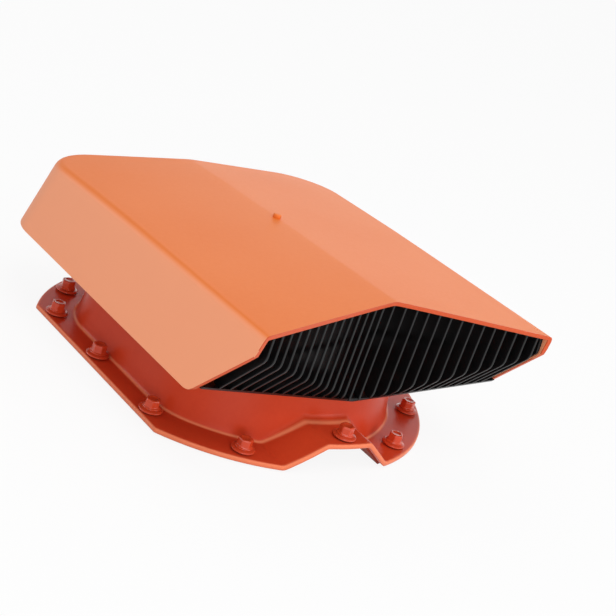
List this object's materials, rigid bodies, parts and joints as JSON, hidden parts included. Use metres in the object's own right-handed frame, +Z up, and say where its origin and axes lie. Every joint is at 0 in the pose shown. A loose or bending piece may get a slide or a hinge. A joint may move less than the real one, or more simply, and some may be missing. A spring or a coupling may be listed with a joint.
{
  "type": "roof vent",
  "caption": "Terracotta roof vent with a ridged hood, a black ribbed grille in its swept mouth, a tapered throat and a screwed round flange bent over one roof rib.",
  "frame": {"origin": "the throat's axis on the gasket's underside, where it meets the roof sheet's flat", "axes": "+Z up from the roof sheet, -Y towards the grille (down the roof slope), +X to the right seen from the front"},
  "size_m": [0.239, 0.265, 0.1058],
  "materials": {
    "hood": "satin",
    "base": "satin",
    "grille": "satin",
    "gasket": "matte",
    "flange_screws": "satin",
    "screw_washers": "satin",
    "hood_screws": "satin"
  },
  "bodies": {
    "root": {"hood": "hood", "throat": "base", "flange": "base", "crest": "base", "grille": "grille", "gasket": "gasket", "flange_screws": "flange_screws", "screw_washers": "screw_washers", "hood_screws": "hood_screws"}
  },
  "joints": []
}
